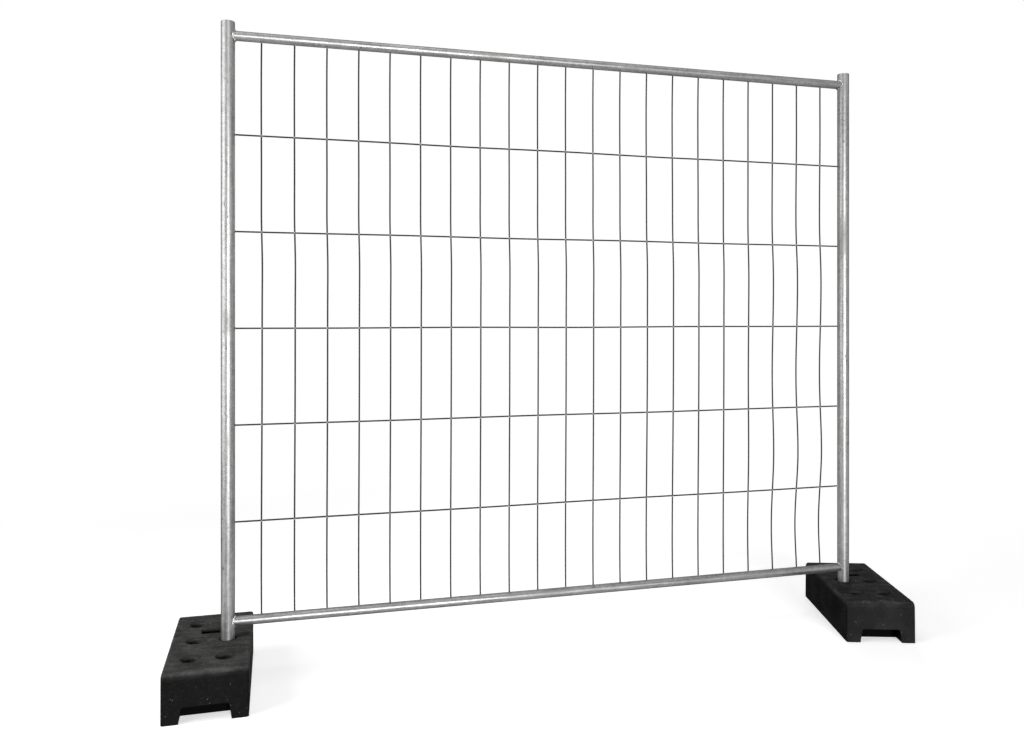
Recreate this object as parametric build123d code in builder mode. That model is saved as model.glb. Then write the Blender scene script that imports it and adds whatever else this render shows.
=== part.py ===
"""Temporary fence panel: a welded tube frame with a wire mesh, standing in two moulded block feet.

The origin lies on the floor under the left upright. +X runs along the panel to the right
upright, -Y is the front and +Z is up. All lengths are in millimetres.
"""

from build123d import *
import os
from math import sqrt

# Panel: distances between axes
panel_width = 2200.0
field_width = 100.0
row_pitch = 300.0
edge_row = 305.0
wire_rows = 5

# Tubes and wires
upright_diameter = 42.0
upright_wall = 2.0
upright_above_rail = 40.0
rail_diameter = 30.0
rail_wall = 1.8
wire_diameter = 5.0
wire_weld_sink = 0.6
wire_end_inside = 1.5
wire_hole_clearance = 0.1

# Domed end cap of an upright
cap_crown = 2.6
cap_rim = 1.4
cap_skirt_length = 14.0
cap_skirt_wall = 1.6
cap_edge_inset = 0.3
cap_fit = 0.15

# Block foot
foot_length = 500.0
foot_width = 235.0
foot_height = 140.0
foot_end_draft = 3.0
foot_end_radius = 20.0
foot_side_radius = 8.0
socket_diameter = 50.0
socket_floor = 25.0
socket_lip = 4.0
socket_column = 48.0
socket_row = 145.0
slot_width = 68.0
slot_length = 42.0
slot_centre = 76.0
slot_corner = 8.0
slot_lip = 2.0
pocket_width = 128.0
pocket_flare = 7.0
pocket_height = 46.0
pocket_depth = 55.0
pocket_corner = 9.0

# How the panel stands in its feet
seat_clearance = 0.3
rail_above_foot = 50.0
right_foot_turn = -18.0

# Places worked out from the sizes above
upright_radius = upright_diameter / 2
rail_radius = rail_diameter / 2
wire_radius = wire_diameter / 2
upright_end = socket_floor + seat_clearance
bottom_rail_height = foot_height + rail_above_foot
lowest_row_height = bottom_rail_height + edge_row
top_rail_height = lowest_row_height + (wire_rows - 1) * row_pitch + edge_row
upright_top = top_rail_height + upright_above_rail
fields = round(panel_width / field_width)
wire_places = [panel_width * i / fields for i in range(1, fields)]
row_heights = [lowest_row_height + row_pitch * i for i in range(wire_rows)]
row_offset = wire_diameter - wire_weld_sink
hole_radius = wire_radius + wire_hole_clearance

made = []


def keep(builder, name):
    """Label a finished piece and list it for export."""
    builder.part.label = name
    made.append(builder.part)


def level(x, y, z):
    """Horizontal plane through a point, facing up."""
    return Plane(origin=(x, y, z), x_dir=(1, 0, 0), z_dir=(0, 0, 1))


def across(x, y, z, facing=1):
    """Plane square to the panel's length: its x runs along Y, and it faces +X or -X."""
    return Plane(origin=(x, y, z), x_dir=(0, facing, 0), z_dir=(facing, 0, 0))


def ring(outer_radius, wall):
    """Cross-section of a round tube, drawn in the sketch that is open."""
    Circle(outer_radius)
    Circle(outer_radius - wall, mode=Mode.SUBTRACT)


# Uprights: square-cut tubes, drilled on the mesh side for the ends of the row wires
for side, upright_x, inward in (("left", 0.0, 1), ("right", panel_width, -1)):
    with BuildPart() as upright:
        with BuildSketch(level(upright_x, 0, upright_end)):
            ring(upright_radius, upright_wall)
        extrude(amount=upright_top - upright_end)
        with BuildSketch(across(upright_x, row_offset, 0, inward)):
            with Locations(*[(0, height) for height in row_heights]):
                Circle(hole_radius)
        extrude(amount=upright_diameter, mode=Mode.SUBTRACT)
    keep(upright, f"{side}_upright")

    # Cap: a crowned lid that sits on the tube's end, with a skirt inside the tube
    lid_radius = upright_radius - cap_edge_inset
    skirt_radius = upright_radius - upright_wall - cap_fit
    crown_radius = (lid_radius**2 + cap_crown**2) / (2 * cap_crown)
    crown_drop = crown_radius - sqrt(crown_radius**2 - (lid_radius / 2) ** 2)
    with BuildPart() as cap:
        with BuildSketch(Plane(origin=(upright_x, 0, upright_top), x_dir=(1, 0, 0), z_dir=(0, -1, 0))):
            with BuildLine():
                Polyline(
                    (0, cap_rim + cap_crown),
                    (0, cap_rim + cap_crown - cap_skirt_wall),
                    (skirt_radius - cap_skirt_wall, 0),
                    (skirt_radius - cap_skirt_wall, -cap_skirt_length),
                    (skirt_radius, -cap_skirt_length),
                    (skirt_radius, 0),
                    (lid_radius, 0),
                    (lid_radius, cap_rim),
                )
                ThreePointArc(
                    (lid_radius, cap_rim),
                    (lid_radius / 2, cap_rim + cap_crown - crown_drop),
                    (0, cap_rim + cap_crown),
                )
            make_face()
        revolve(axis=Axis((upright_x, 0, 0), (0, 0, 1)))
    keep(cap, f"{side}_upright_cap")


# Rails: tubes coped to the uprights at both ends and drilled on the mesh side
for rail_name, rail_height, mesh_side in (
    ("bottom_rail", bottom_rail_height, 1),
    ("top_rail", top_rail_height, -1),
):
    with BuildPart() as rail:
        with BuildSketch(across(0, 0, rail_height)):
            ring(rail_radius, rail_wall)
        extrude(amount=panel_width)
        with BuildSketch(level(0, 0, rail_height - rail_diameter)):
            with Locations((0, 0), (panel_width, 0)):
                Circle(upright_radius)
        extrude(amount=2 * rail_diameter, mode=Mode.SUBTRACT)
        with BuildSketch(level(0, 0, rail_height)):
            with Locations(*[(place, 0) for place in wire_places]):
                Circle(hole_radius)
        extrude(amount=mesh_side * rail_diameter, mode=Mode.SUBTRACT)
    keep(rail, rail_name)


# Mesh: upright wires run into both rails
wire_bottom = bottom_rail_height + rail_radius - rail_wall - wire_end_inside
wire_top = top_rail_height - rail_radius + rail_wall + wire_end_inside
for number, place in enumerate(wire_places, 1):
    with BuildPart() as upright_wire:
        with BuildSketch(level(place, 0, wire_bottom)):
            Circle(wire_radius)
        extrude(amount=wire_top - wire_bottom)
    keep(upright_wire, f"upright_wire_{number:02d}")

# Mesh: row wires lie behind the upright wires, pressed onto them at each weld
bore_radius = upright_radius - upright_wall
row_start = sqrt(bore_radius**2 - row_offset**2) - wire_end_inside
for number, height in enumerate(row_heights, 1):
    with BuildPart() as row_wire:
        with BuildSketch(across(row_start, row_offset, height)):
            Circle(wire_radius)
        extrude(amount=panel_width - 2 * row_start)
        with BuildSketch(level(0, 0, height - wire_diameter)):
            with Locations(*[(place, 0) for place in wire_places]):
                Circle(wire_radius)
        extrude(amount=2 * wire_diameter, mode=Mode.SUBTRACT)
    keep(row_wire, f"row_wire_{number}")


def build_foot(foot_plane):
    """Block foot with six post sockets, a hand slot and a lifting pocket under each end."""
    half_length = foot_length / 2
    middle = Plane(origin=foot_plane.origin, x_dir=foot_plane.y_dir, z_dir=foot_plane.x_dir)
    with BuildPart() as foot:
        # Side outline, drawn along the foot: drafted ends that round over into the top
        with BuildSketch(middle):
            with BuildLine():
                Polyline(
                    (-half_length, 0),
                    (half_length, 0),
                    (half_length - foot_end_draft, foot_height),
                    (-half_length + foot_end_draft, foot_height),
                    close=True,
                )
            outline = make_face()
            fillet(outline.vertices().group_by(Axis.Y)[-1], foot_end_radius)
        extrude(amount=foot_width / 2, both=True)
        side_edges = [
            edge
            for edge in foot.edges()
            if abs(abs(foot_plane.to_local_coords(edge.center()).X) - foot_width / 2) < 0.01
            and foot_plane.to_local_coords(edge.center()).Z > 1
        ]
        fillet(side_edges, foot_side_radius)

        # Post sockets in two columns of three, blind above the foot's floor
        with BuildSketch(foot_plane.offset(socket_floor)):
            with GridLocations(2 * socket_column, socket_row, 2, 3):
                Circle(socket_diameter / 2)
        extrude(amount=foot_height, mode=Mode.SUBTRACT)

        # Hand slot right through the block
        with BuildSketch(foot_plane):
            with Locations((0, slot_centre)):
                RectangleRounded(slot_width, slot_length, slot_corner)
        extrude(amount=foot_height, mode=Mode.SUBTRACT)

        # Lips of the sockets and of the slot
        top_face = foot.faces().filter_by(Axis.Z).sort_by(Axis.Z)[-1]
        mouths = top_face.inner_wires()
        for mouth in mouths:
            lip = socket_lip if len(mouth.edges()) < 4 else slot_lip
            fillet(mouth.edges(), lip)

        # Lifting pockets, open at the end and underneath, wider at the floor than at their roof
        half_roof = pocket_width / 2
        half_mouth = half_roof + pocket_flare
        for end in (-1, 1):
            end_plane = Plane(
                origin=foot_plane.from_local_coords(Vector(0, end * half_length, 0)),
                x_dir=foot_plane.x_dir * end,
                z_dir=foot_plane.y_dir * -end,
            )
            with BuildSketch(end_plane):
                with BuildLine():
                    Polyline(
                        (-half_mouth, 0),
                        (half_mouth, 0),
                        (half_roof, pocket_height),
                        (-half_roof, pocket_height),
                        close=True,
                    )
                profile = make_face()
                fillet(profile.vertices().group_by(Axis.Y)[-1], pocket_corner)
            extrude(amount=pocket_depth, mode=Mode.SUBTRACT)
    return foot


# Feet: the panel stands in the inner column of each, in the middle row
for side, upright_x, column, turn in (
    ("left", 0.0, socket_column, 0.0),
    ("right", panel_width, -socket_column, right_foot_turn),
):
    upright_plane = Plane(origin=(upright_x, 0, 0)).rotated((0, 0, turn))
    foot_plane = Plane(
        origin=upright_plane.from_local_coords(Vector(-column, 0, 0)),
        x_dir=upright_plane.x_dir,
        z_dir=(0, 0, 1),
    )
    keep(build_foot(foot_plane), f"{side}_foot")


os.makedirs("parts", exist_ok=True)
for piece in made:
    export_step(piece, f"parts/{piece.label}.step")
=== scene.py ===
"""Looks of the temporary fence panel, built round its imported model.

The tubes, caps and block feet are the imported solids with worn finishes. The mesh wires are drawn here
with the slight bends that welding leaves in them, and every weld of the panel is added. The frame is
the model's own: metres, the floor at z = 0 under the left upright, +X to the right upright, -Y to the
front.
"""

from math import radians

import bpy
import numpy as np
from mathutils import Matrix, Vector


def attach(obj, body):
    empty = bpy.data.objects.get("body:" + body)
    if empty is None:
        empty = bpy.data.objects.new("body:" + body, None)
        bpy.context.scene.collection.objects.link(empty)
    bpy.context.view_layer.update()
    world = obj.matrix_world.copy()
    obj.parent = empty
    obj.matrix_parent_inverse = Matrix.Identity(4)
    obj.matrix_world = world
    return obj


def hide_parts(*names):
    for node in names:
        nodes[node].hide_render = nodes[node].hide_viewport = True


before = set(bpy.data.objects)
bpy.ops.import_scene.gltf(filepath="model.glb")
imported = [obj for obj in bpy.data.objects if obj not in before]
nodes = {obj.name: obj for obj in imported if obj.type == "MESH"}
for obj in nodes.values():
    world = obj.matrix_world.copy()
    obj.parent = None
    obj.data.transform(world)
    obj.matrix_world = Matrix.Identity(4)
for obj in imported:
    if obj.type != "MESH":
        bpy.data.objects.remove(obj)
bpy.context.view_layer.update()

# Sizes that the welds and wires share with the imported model
PANEL_WIDTH = 2.2
WIRE_COUNT = 21
WIRE_PITCH = 0.1
WIRE_RADIUS = 0.0025
ROW_OFFSET = 0.0044
ROW_PITCH = 0.3
ROW_HEIGHTS = 0.495 + ROW_PITCH * np.arange(5)
BOTTOM_RAIL = 0.19
TOP_RAIL = 2.0
RAIL_RADIUS = 0.015
UPRIGHT_RADIUS = 0.021
WIRE_SINK = 0.0025
SOCKET_COLUMN = 0.048
SOCKET_ROW = 0.145
SLOT_CENTRE = 0.076
FOOT_HALF_WIDTH = 0.1175
FOOT_HALF_LENGTH = 0.25
FOOT_HEIGHT = 0.14
FOOT_CENTRE = SOCKET_COLUMN
FOOT_TURN = -18

# Sizes of the welds. A collar's foot is sunk in the tube, and a bead's middle stands just off it.
CROSSING_RADIUS = 0.0037
CROSSING_HALF_DEPTH = 0.0036
COLLAR_FLARE = 0.0026
COLLAR_HEIGHT = 0.0034
COLLAR_SINK = 0.0006
BEAD_RADIUS = 0.0029
BEAD_OFFSET = 0.0004

# Where the upright wires bend: wires are counted from the left, and heights are metres from the floor
MOST_BENT_WIRE = 14.7
BENT_WIRES = 1.8
ARC_CREST = 0.48
STEP_HEIGHT = ROW_HEIGHTS[3] - 0.025
STEP_REACH = 0.12
LAST_STILL_WIRE = 17.5
FULL_SWING_HEIGHT = 0.6
SWING_FADE = 0.45

VIEW_RAYS = ("Camera", "Glossy", "Transmission")

chance = np.random.default_rng(12)


class Field:
    """A socket of a node tree. Python sums on it add Math nodes to that tree."""

    def __init__(self, tree, socket):
        self.tree = tree
        self.socket = socket

    def maths(self, operation, *terms):
        values = dict(enumerate(terms))
        return self.tree.node("ShaderNodeMath", {"operation": operation}, values)

    def __add__(self, other):
        return self.maths("ADD", self, other)

    def __sub__(self, other):
        return self.maths("SUBTRACT", self, other)

    def __rsub__(self, other):
        return self.maths("SUBTRACT", other, self)

    def __mul__(self, other):
        return self.maths("MULTIPLY", self, other)

    def __abs__(self):
        return self.maths("ABSOLUTE", self)

    def most(self, other):
        return self.maths("MAXIMUM", self, other)

    def from_whole(self):
        """How far the value is from the nearest whole number."""
        return abs(self - self.maths("ROUND", self))

    def rise(self, low, high):
        """0 up to low and 1 from high on, with a smooth step between. It falls if low is above high."""
        return self.tree.node(
            "ShaderNodeMapRange",
            {"interpolation_type": "SMOOTHSTEP"},
            {"Value": self, "From Min": low, "From Max": high},
        )

    __radd__ = __add__
    __rmul__ = __mul__


class Tree:
    """The nodes of a material or a world, with one method that adds any of them."""

    def __init__(self, owner, last):
        owner.use_nodes = True
        self.nodes = owner.node_tree.nodes
        self.links = owner.node_tree.links
        self.last = self.nodes[last]

    def node(self, kind, settings=None, values=None, output=0):
        """Adds a node of that kind, makes its settings, then sets or links its sockets."""
        made = self.nodes.new(kind)
        for name, value in (settings or {}).items():
            setattr(made, name, value)
        for name, value in (values or {}).items():
            if isinstance(value, Field):
                self.links.new(value.socket, made.inputs[name])
            else:
                made.inputs[name].default_value = value
        return Field(self, made.outputs[output])

    def blend(self, amount, first, second):
        """The first colour where amount is 0 and the second where it is 1."""
        return self.node("ShaderNodeMix", {"data_type": "RGBA"}, {0: amount, 6: first, 7: second}, 2)

    def feed(self, socket, value):
        self.links.new(value.socket, self.last.inputs[socket])

    def in_view(self):
        """1 for what the camera sees, straight on or in gloss and glass, and 0 for light on its way."""
        rays = [self.node("ShaderNodeLightPath", output=f"Is {ray} Ray") for ray in VIEW_RAYS]
        return rays[0].most(rays[1]).most(rays[2])


class Finish(Tree):
    """A material made from patterns that follow the piece's own coordinates."""

    def __init__(self, name, centre=(0, 0, 0), turn=0, **constants):
        self.material = bpy.data.materials.new(name)
        super().__init__(self.material, "Principled BSDF")
        for socket, value in constants.items():
            self.last.inputs[socket.replace("_", " ")].default_value = value
        coordinates = self.node("ShaderNodeTexCoord", output="Object")
        self.place = self.node(
            "ShaderNodeMapping",
            {"vector_type": "TEXTURE"},
            {"Vector": coordinates, "Location": centre, "Rotation": (0, 0, radians(turn))},
        )

    def stretched(self, scale=(1, 1, 1), turn=(0, 0, 0)):
        """The piece's own coordinates, turned and then scaled. A small scale draws a pattern out."""
        turned = self.node("ShaderNodeMapping", values={"Vector": self.place, "Rotation": turn})
        return self.node("ShaderNodeMapping", values={"Vector": turned, "Scale": scale})

    def noise(self, scale, detail=2.0, place=None):
        values = {"Vector": place or self.place, "Scale": scale, "Detail": detail}
        return self.node("ShaderNodeTexNoise", values=values)

    def cells(self, scale, place=None, output="Color"):
        values = {"Vector": place or self.place, "Scale": scale}
        return self.node("ShaderNodeTexVoronoi", values=values, output=output)

    def axes(self):
        """Three fields: how far along X, Y and Z of its own a point lies."""
        parts = self.node("ShaderNodeSeparateXYZ", values={0: self.place}).socket.node
        return [Field(self, parts.outputs[axis]) for axis in range(3)]

    def emboss(self, height, depth):
        """Bumps the surface by a pattern: depth is in metres for a height from 0 to 1."""
        bump = self.node("ShaderNodeBump", values={"Height": height, "Distance": depth})
        self.feed("Normal", bump)


def grey(level, warmth=0.0):
    """A grey colour, a little warm where warmth is above 0 and a little cold below it."""
    return (level * (1 + warmth), level, level * (1 - warmth), 1)


def galvanised(name, lengthways, light=0.36, dark=0.13):
    """Dull zinc on a drawn tube: flowing streaks along it, faint crystals, stains and dark nicks."""
    finish = Finish(name, Metallic=0.75, Specular_IOR_Level=0.0, Specular_Tint=grey(0.02))
    drawn_out = tuple(0.035 if axis == lengthways else 1 for axis in range(3))
    half_drawn = tuple(0.35 if axis == lengthways else 1 for axis in range(3))
    streaks = finish.noise(190, 3, finish.stretched(drawn_out))
    crystals = finish.node("ShaderNodeSeparateColor", values={0: finish.cells(105)})
    clouds = finish.noise(9, 4, finish.stretched(half_drawn))
    nicks = finish.noise(75, 3, finish.stretched(half_drawn)).rise(0.66, 0.74)
    stains = clouds.rise(0.52, 0.7)
    shade = streaks * 1.1 + crystals * 0.25 + clouds * 0.6 - 0.45
    zinc = finish.blend(shade, grey(dark, -0.01), grey(light, 0.01))
    stained = finish.blend(stains * 0.35, zinc, grey(dark * 0.8, 0.03))
    finish.feed("Base Color", finish.blend(nicks * 0.75, stained, grey(0.06, 0.04)))
    finish.feed("Roughness", 0.3 + streaks * 0.16 + stains * 0.2)
    grain = finish.noise(900, 2) * 0.25 + streaks * 0.6 - nicks * 0.8
    finish.emboss(grain, 0.0002)
    return finish.material


def drawn_wire(name, lengthways, first_weld, weld_pitch):
    """Thin zinc on drawn wire: darker than the tubes, with a bright mark painted at every weld as the
    welds' sheen, a painted highlight.

    The welds stand weld_pitch apart along the wire, in step with the one at first_weld.
    """
    finish = Finish(name, Metallic=0.3, Roughness=0.5, Specular_IOR_Level=0.0, Specular_Tint=grey(0.3))
    drawn_out = tuple(0.12 if axis == lengthways else 1 for axis in range(3))
    lengths = finish.noise(60, 3, finish.stretched(drawn_out))
    zinc = finish.blend(lengths.rise(0.2, 0.8), grey(0.02), grey(0.036, 0.01))
    spots = finish.noise(230, 2).rise(0.62, 0.7)
    spotted = finish.blend(spots * 0.3, zinc, grey(0.012, 0.03))
    pitches = (finish.axes()[lengthways] - first_weld) * (1 / weld_pitch)
    mark, soft_edge = 0.002 / weld_pitch, 0.004 / weld_pitch
    # Painted highlight: the wire is painted bright round every weld, standing in for the welds' sheen.
    painted_weld_sheen = pitches.from_whole().rise(soft_edge, mark)
    finish.feed("Base Color", finish.blend(painted_weld_sheen, spotted, grey(0.2)))
    finish.emboss(finish.noise(400, 2), 0.00004)
    return finish.material


def weld_metal(name, light=0.45, dark=0.1):
    """Zinc-coated weld metal: a painted highlight on its raised faces, painted shade in its hollows,
    and small pores painted dark as shade.
    """
    finish = Finish(name, Metallic=0.5, Roughness=0.34, Specular_IOR_Level=0.0, Specular_Tint=grey(0.3))
    lumps = finish.noise(330, 3)
    burnt = finish.noise(70, 2).rise(0.44, 0.56)
    pores = finish.noise(620, 2).rise(0.63, 0.7)
    # Painted highlight and shade: the lumps that the bump raises are painted light and the hollows
    # between them dark.
    coat_with_painted_relief = finish.blend(lumps.rise(0.38, 0.62), grey(dark), grey(light))
    sooty = finish.blend(burnt * 0.7, coat_with_painted_relief, grey(dark * 0.6, 0.02))
    # Painted shade: the pores that the bump dents are painted dark.
    finish.feed("Base Color", finish.blend(pores * 0.8, sooty, grey(0.05, 0.03)))
    finish.emboss(lumps - pores * 0.5, 0.0006)
    return finish.material


def moulded(name, centre, turn, dirt_and_shade):
    """Black moulded block: a dusty scuffed top, top edges painted lighter as wear and as a highlight,
    painted shade on the socket lips and in the pocket underneath, socket walls painted lighter against
    their shade, and light scratches.

    The last argument is the share of the dust and scuffs that the block carries. It also sets how dark
    the painted shade on the lips is and how much painted light the upper socket walls take.
    """
    finish = Finish(name, centre, turn, Metallic=0.0, Specular_IOR_Level=0.006)
    across, along, height = finish.axes()
    from_side = FOOT_HALF_WIDTH - abs(across)
    from_end = FOOT_HALF_LENGTH - abs(along)
    from_top = FOOT_HEIGHT - height
    slot = along.rise(0.04, 0.05) * along.rise(0.118, 0.104)
    sockets = from_side.rise(0.0055, 0.0115) * from_end.rise(0.015, 0.025) * (1 - slot)
    # The top also takes in the upper socket walls, so they are painted lighter with it: dust, and
    # painted light against their shade.
    top = from_top.rise(0.012, 0.0005).most(sockets * from_top.rise(0.035, 0.015) * 0.8)
    lit_socket_walls = sockets * from_top.rise(0.09, 0.04) * from_top.rise(0.0005, 0.005)
    # Where painted shade goes: the pocket hollowed into the underside.
    pocket_shade = abs(across).rise(0.08, 0.074) * from_end.rise(0.0035, 0.007) * height.rise(0.05, 0.046)
    ends = from_end.rise(0.0065, 0.003)
    rim = from_side.rise(0.0105, 0.001).most(from_end.rise(0.024, 0.004) * 0.45)
    upper = from_top.rise(0.022, 0.004)
    # Painted shade on the lips: as far out as the round mouths of the sockets and the square one of the
    # slot reach
    column = abs(across) - SOCKET_COLUMN
    row = (along * (1 / SOCKET_ROW)).from_whole() * SOCKET_ROW
    round_mouths = (column * column + row * row).rise(0.031**2, 0.0275**2)
    slot_mouth = abs(across).rise(0.0375, 0.035) * abs(along - SLOT_CENTRE).rise(0.025, 0.0225)
    lip_shade = round_mouths.most(slot_mouth) * from_top.rise(0.006, 0.003)
    dust = finish.noise(13, 4).rise(0.36, 0.68)
    smears = finish.noise(60, 5, finish.stretched((0.35, 1, 1), (0, 0, 0.2))).rise(0.44, 0.7)
    patches = finish.noise(110, 5).rise(0.48, 0.66)
    scratches = None
    for angle, scale in ((0.1, 210), (0.5, 260), (2.3, 250), (2.9, 200)):
        mark = finish.noise(scale, 3, finish.stretched((1, 0.12, 1), (0, 0, angle))).rise(0.64, 0.7)
        scratches = mark if scratches is None else scratches.most(mark)
    scratches = scratches * finish.noise(28, 3).rise(0.45, 0.6)
    chips = finish.cells(130, output="Distance").rise(0.16, 0.07)
    rare = finish.noise(24, 2).rise(0.56, 0.6)
    grain = finish.noise(520, 3)
    body = finish.blend(grain, grey(0.004), grey(0.009, 0.01))
    rubbed = finish.blend(ends * (1.15 - dirt_and_shade) * (0.5 + dust * 0.5), body, grey(0.024, 0.01))
    dust_and_socket_light = finish.blend(top * (0.4 + dust * 0.5) * dirt_and_shade, rubbed, grey(0.068, 0.02))
    smeared = finish.blend(top * smears * (0.25 + dirt_and_shade * 0.25), dust_and_socket_light, grey(0.1, 0.02))
    scuffed = finish.blend((0.03 + top * 0.3 * dirt_and_shade) * patches, smeared, grey(0.1, 0.02))
    # Top edges painted lighter, partly as wear and partly as a painted highlight along them.
    rim_wear_and_highlight = finish.blend(rim * upper * (0.15 + dust * 0.4), scuffed, grey(0.1, 0.02))
    marked = finish.blend(scratches * (0.06 + top * 0.35), rim_wear_and_highlight, grey(0.18, 0.01))
    chipped = finish.blend(chips * rare * 0.7, marked, grey(0.35))
    # Painted light: the socket walls are painted lighter again, partly as dust and partly to lift them
    # out of their shade.
    socket_walls_painted_light = finish.blend(lit_socket_walls * (0.14 + dust * 0.2), chipped, grey(0.14, 0.02))
    # Painted shade: the lips round the mouths are painted dark, carrying the sockets' shade out over
    # them.
    lips_painted_dark = finish.blend(lip_shade * (0.35 + dirt_and_shade * 0.35), socket_walls_painted_light, grey(0.026, 0.01))
    # Painted shade: the hollow pocket under the block is painted almost black.
    finish.feed("Base Color", finish.blend(pocket_shade * 0.8, lips_painted_dark, grey(0.002)))
    finish.feed("Roughness", 0.62 + dust * 0.2)
    finish.emboss(grain * 0.5 - scratches * 0.5 - chips * rare * 0.8, 0.0006)
    return finish.material


def put(name, points, finish, closed_ring=False, stands_for=()):
    """Makes one piece of the panel from closed skins, and gives it its finish.

    points has the shape (skins, rows, around, 3). Each row is a ring, and each ring runs round the way
    the rows advance as a screw does. A skin is closed at both ends by a face across its first and last
    ring, or, with closed_ring, by joining the last ring to the first.
    """
    skins, rows, around = points.shape[:3]
    steps = rows if closed_ring else rows - 1
    row, turn = np.meshgrid(np.arange(steps), np.arange(around), indexing="ij")
    next_row, next_turn = (row + 1) % rows, (turn + 1) % around
    corners = (row * around + turn, row * around + next_turn)
    corners += (next_row * around + next_turn, next_row * around + turn)
    quads = np.stack(corners, axis=-1).reshape(-1, 4)
    starts = np.arange(skins) * rows * around
    faces = (starts[:, None, None] + quads).reshape(-1, 4).tolist()
    if not closed_ring:
        ring = np.arange(around)
        faces += (starts[:, None] + ring[::-1]).tolist()
        faces += (starts[:, None] + (rows - 1) * around + ring).tolist()
    mesh = bpy.data.meshes.new(name)
    mesh.from_pydata(points.reshape(-1, 3).tolist(), [], faces)
    mesh.shade_smooth()
    mesh.materials.append(finish)
    piece = bpy.data.objects.new(name, mesh)
    bpy.context.scene.collection.objects.link(piece)
    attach(piece, "panel")
    if stands_for:
        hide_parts(*stands_for)
    return piece


def bow(number, height):
    """How far an upright wire stands to the right of its place, in metres.

    The sum of three bends that fade to nothing where the wire enters each rail: a cosine along the
    height, largest on the wires a third of the way in from the right; a small sideways step where the
    fourth row was pressed on; and, near the right upright, bulges to one side and then to the other
    between the rows, which grow less from the lowest field up.
    """
    share = (height - BOTTOM_RAIL) / (TOP_RAIL - BOTTOM_RAIL)
    from_most_bent = (number - MOST_BENT_WIRE) / BENT_WIRES
    size = 0.0015 + 0.0016 * np.exp(-(from_most_bent**2))
    arc = size * np.cos(2 * np.pi * (share - ARC_CREST))
    below = (STEP_HEIGHT - height) / STEP_REACH
    step = 0.0025 * below * np.exp(-(below**2))
    above = np.clip(height - FULL_SWING_HEIGHT, 0, None)
    swing = 0.0009 + 0.0058 * np.exp(-above / SWING_FADE)
    near = np.clip((number - LAST_STILL_WIRE) / 2, 0, 1)
    bulge = near * swing * np.sin(np.pi * (height - ROW_HEIGHTS[0]) / ROW_PITCH)
    held = 1 - np.abs(2 * share - 1) ** 9
    return held * (arc + step + bulge)


def ring_angles(around):
    return np.linspace(0, 2 * np.pi, around, endpoint=False)


def upright_wires(finish):
    """Wires between the rails: circles stacked on a line that follows the wire's bow."""
    low = BOTTOM_RAIL + RAIL_RADIUS - WIRE_SINK
    high = TOP_RAIL - RAIL_RADIUS + WIRE_SINK
    height = np.linspace(low, high, 73)[:, None]
    angle = ring_angles(10)[None, :]
    for number in range(1, WIRE_COUNT + 1):
        x = number * WIRE_PITCH + bow(number, height) + WIRE_RADIUS * np.cos(angle)
        y = WIRE_RADIUS * np.sin(angle) + 0 * height
        points = np.stack(np.broadcast_arrays(x, y, height), axis=-1)
        name = f"bowed_wire_{number:02d}"
        node = f"upright_wire_{number:02d}"
        put(name, points[None], finish, stands_for=[node])


def row_wires(finish):
    """Wires between the uprights: circles strung along a line that dips a little between welds."""
    end = (UPRIGHT_RADIUS**2 - ROW_OFFSET**2) ** 0.5 - WIRE_SINK
    along = np.linspace(end, PANEL_WIDTH - end, 111)[:, None]
    angle = ring_angles(10)[None, :]
    for number, level in enumerate(ROW_HEIGHTS, 1):
        held = np.sin(np.pi * along / PANEL_WIDTH)
        waves = 0.7 + 0.13 * number
        dip = 0.0009 * held * np.sin(2 * np.pi * along * waves + number)
        y = ROW_OFFSET + WIRE_RADIUS * np.cos(angle) + 0 * along
        z = level + dip + WIRE_RADIUS * np.sin(angle)
        points = np.stack(np.broadcast_arrays(along, y, z), axis=-1)
        node = f"row_wire_{number}"
        put(f"drawn_row_{number}", points[None], finish, stands_for=[node])


def crossing_welds(finish):
    """A flattened bead where each upright wire is pressed onto a row.

    Each bead is turned about the Y axis. Its radius grows from the front, share 0, and falls again to
    the back, share 1, as the sine of half a turn does, raised to a power that makes it blunt.
    """
    number = np.arange(1, WIRE_COUNT + 1)[:, None, None]
    share = np.linspace(0.06, 0.94, 7)[None, :, None]
    angle = ring_angles(10)[None, None, :]
    for row, level in enumerate(ROW_HEIGHTS, 1):
        size = chance.uniform(0.85, 1.15, (WIRE_COUNT, 1, 1))
        lean = chance.uniform(-0.0006, 0.0006, (WIRE_COUNT, 1, 1))
        radius = CROSSING_RADIUS * size * np.sin(np.pi * share) ** 0.7
        x = number * WIRE_PITCH + bow(number, level) + lean + radius * np.sin(angle)
        y = ROW_OFFSET / 2 - CROSSING_HALF_DEPTH * np.cos(np.pi * share)
        z = level + lean + radius * 0.95 * np.cos(angle)
        points = np.stack(np.broadcast_arrays(x, y, z), axis=-1)
        put(f"row_{row}_welds", points, finish)


def collars(name, bases, out, along, radius, offset, finish):
    """Welds where wires enter a tube: a skirt round each wire that flares out to meet the tube.

    Its radius grows from the wire's to the skirt's as the height falls to the tube's surface, which
    drops away from the wire as a circle of the tube's radius does.
    """
    out, along = np.array(out, float), np.array(along, float)
    across = np.cross(out, along)
    share = np.linspace(0, 1, 6)[None, :, None]
    angle = ring_angles(12)[None, None, :]
    size = chance.uniform(0.85, 1.2, (len(bases), 1, 1))
    lump = 1 + 0.12 * np.sin(3 * angle + 9 * size)
    reach = WIRE_RADIUS * 0.9 + COLLAR_FLARE * size * lump * (1 - share) ** 1.8
    right = reach * np.sin(angle)
    drop = radius - np.sqrt(radius**2 - (offset + right) ** 2)
    rise = COLLAR_HEIGHT * size * share - COLLAR_SINK - drop
    parts = (rise, out), (reach * np.cos(angle), along), (right, across)
    points = sum(amount[..., None] * way for amount, way in parts)
    put(name, bases[:, None, None, :] + points, finish)


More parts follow.
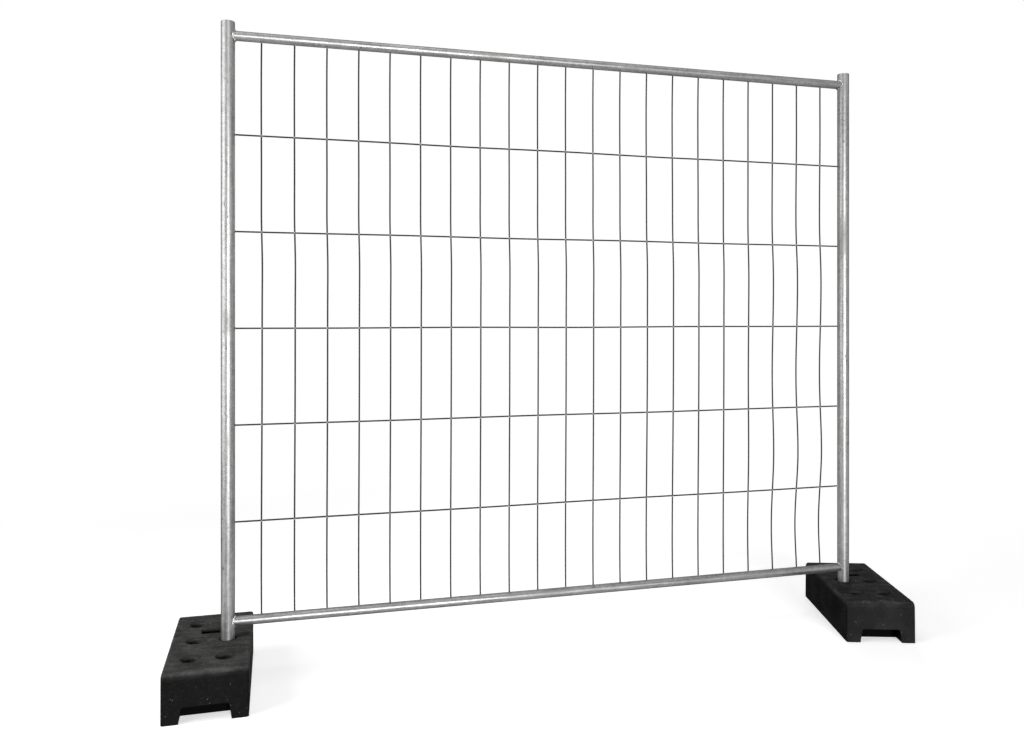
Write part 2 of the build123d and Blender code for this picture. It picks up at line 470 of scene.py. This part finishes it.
def wire_end_welds(finish):
    """Collars at the ends of all upright wires and rows."""
    places = np.arange(1, WIRE_COUNT + 1) * WIRE_PITCH
    for name, height, up in (("bottom_rail", BOTTOM_RAIL, 1), ("top_rail", TOP_RAIL, -1)):
        surface = height + up * RAIL_RADIUS
        bases = np.stack(np.broadcast_arrays(places, 0, surface), axis=-1)
        collars(f"{name}_wire_welds", bases, (0, 0, up), (1, 0, 0), RAIL_RADIUS, 0, finish)
    for name, x, inward in (("left_upright", 0, 1), ("right_upright", PANEL_WIDTH, -1)):
        surface = x + inward * UPRIGHT_RADIUS
        bases = np.stack(np.broadcast_arrays(surface, ROW_OFFSET, ROW_HEIGHTS), axis=-1)
        side = inward * ROW_OFFSET
        collars(f"{name}_row_welds", bases, (inward, 0, 0), (0, 0, 1), UPRIGHT_RADIUS, -side, finish)


def rail_welds(finish):
    """Weld beads round the rail ends: a circle carried along the curve where rail and upright meet.

    The curve goes once round the rail and keeps to the upright's surface. Its circle swells and
    shrinks in short ripples, and in slower lumps where the weld was started and stopped.
    """
    turn = np.linspace(0, 2 * np.pi, 240, endpoint=False)[None, :, None]
    angle = ring_angles(12)[None, None, :]
    ripple = np.abs(np.sin(19 * turn))
    for rail, height in (("bottom_rail", BOTTOM_RAIL), ("top_rail", TOP_RAIL)):
        for side, x, inward in (("left", 0.0, 1), ("right", PANEL_WIDTH, -1)):
            first, second = chance.uniform(0, 2 * np.pi, 2)
            lumps = 0.22 * np.sin(2 * turn + first) + 0.16 * np.sin(5 * turn + second)
            bead = BEAD_RADIUS * (1 + lumps + 0.12 * ripple)
            out = RAIL_RADIUS + BEAD_OFFSET + bead * np.cos(angle)
            y = out * np.cos(turn)
            reach = np.sqrt(UPRIGHT_RADIUS**2 - (RAIL_RADIUS * np.cos(turn)) ** 2)
            z = height + inward * out * np.sin(turn)
            from_axis = reach + BEAD_OFFSET - bead * np.sin(angle)
            points = np.stack(np.broadcast_arrays(x + inward * from_axis, y, z), axis=-1)
            put(f"{side}_{rail}_weld", points, finish, closed_ring=True)


def dress(names, finish):
    """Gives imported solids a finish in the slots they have."""
    for name in names:
        for slot in nodes[name].material_slots:
            slot.material = finish


def finish_packed_solids():
    dress(["left_upright", "right_upright"], galvanised("upright_zinc", 2))
    dress(["bottom_rail", "top_rail"], galvanised("rail_zinc", 0, 0.32, 0.11))
    dress(["left_upright_cap", "right_upright_cap"], galvanised("cap_zinc", 1, 0.36, 0.16))
    dress(["left_foot"], moulded("left_block_black", (-FOOT_CENTRE, 0, 0), 0, 1.0))
    turn = radians(FOOT_TURN)
    centre = (PANEL_WIDTH + FOOT_CENTRE * np.cos(turn), FOOT_CENTRE * np.sin(turn), 0)
    dress(["right_foot"], moulded("right_block_black", centre, FOOT_TURN, 0.3))


def lamp(name, place, aim, size, power):
    """A soft square light at a place, turned to face a point."""
    light = bpy.data.lights.new(name, "AREA")
    light.shape = "RECTANGLE"
    light.size, light.size_y = size
    light.energy = power
    holder = bpy.data.objects.new(name, light)
    holder.location = place
    way = Vector(aim) - Vector(place)
    holder.rotation_euler = way.to_track_quat("-Z", "Y").to_euler()
    holder.visible_camera = False
    bpy.context.scene.collection.objects.link(holder)


def floor_paper():
    """Pale paper that keeps the shadow near the panel and whitens into the surroundings further off."""
    finish = Finish("floor_paper", (PANEL_WIDTH / 2, 0, 0), Roughness=0.9, Specular_IOR_Level=0.0)
    finish.last.inputs["Emission Strength"].default_value = 1
    values = {0: finish.place}
    away = finish.node("ShaderNodeVectorMath", {"operation": "LENGTH"}, values, "Value").rise(1.6, 3.4)
    seen = finish.in_view()
    paper = finish.blend(away, grey(0.85), grey(0))
    glow = finish.blend(away, grey(0.57), grey(1))
    finish.feed("Base Color", finish.blend(seen, grey(0.2), paper))
    finish.feed("Emission Color", finish.blend(seen, grey(0), glow))
    return finish.material


def studio():
    """Pale floor, white surroundings and four soft lights."""
    scene = bpy.context.scene
    scene.view_settings.view_transform = "Standard"
    scene.world = bpy.data.worlds.new("white_surround")
    surround = Tree(scene.world, "Background")
    surround.feed("Color", surround.blend(surround.in_view(), grey(0.06), grey(1)))
    reach = 60
    mesh = bpy.data.meshes.new("studio_floor")
    corners = [(-reach, -reach, 0), (reach, -reach, 0), (reach, reach, 0), (-reach, reach, 0)]
    mesh.from_pydata(corners, [], [(0, 1, 2, 3)])
    mesh.materials.append(floor_paper())
    floor = bpy.data.objects.new("studio_floor", mesh)
    scene.collection.objects.link(floor)
    # Each lamp's place, aim, size and power in watts
    lamp("front_light", (1.3, -7.5, 0.9), (1.1, 0, 1.0), (2.0, 1.9), 600)
    lamp("top_light", (1.1, -0.8, 5.0), (1.1, 0, 0), (4, 3), 55)
    lamp("left_light", (-2.3, -0.7, 1.8), (0, 0, 1.8), (2.4, 2.6), 88)
    lamp("back_light", (3.4, 3.6, 2.2), (1.3, 0, 0.9), (2.6, 2.2), 50)


def camera():
    """The photograph's view: level, turned a little to the right, its frame shifted down."""
    view = bpy.data.cameras.new("photo_camera")
    view.sensor_fit = "HORIZONTAL"
    view.sensor_width = 36
    view.lens = 30.31
    view.shift_y = -0.0478
    holder = bpy.data.objects.new("photo_camera", view)
    holder.location = (0.1441, -2.7987, 1.1331)
    holder.rotation_euler = (radians(90), 0, radians(-15.29))
    bpy.context.scene.collection.objects.link(holder)
    bpy.context.scene.camera = holder


finish_packed_solids()
upright_wires(drawn_wire("upright_wire_zinc", 2, ROW_HEIGHTS[0], ROW_PITCH))
row_wires(drawn_wire("row_wire_zinc", 0, 0, WIRE_PITCH))
weld_zinc = weld_metal("weld_zinc")
crossing_welds(weld_metal("crossing_zinc", 0.4, 0.16))
wire_end_welds(weld_zinc)
# The rail beads take a far lighter copy of the weld metal, a painted highlight on them.
rail_welds(weld_metal("bead_zinc_painted_bright", 0.9, 0.14))
studio()
camera()
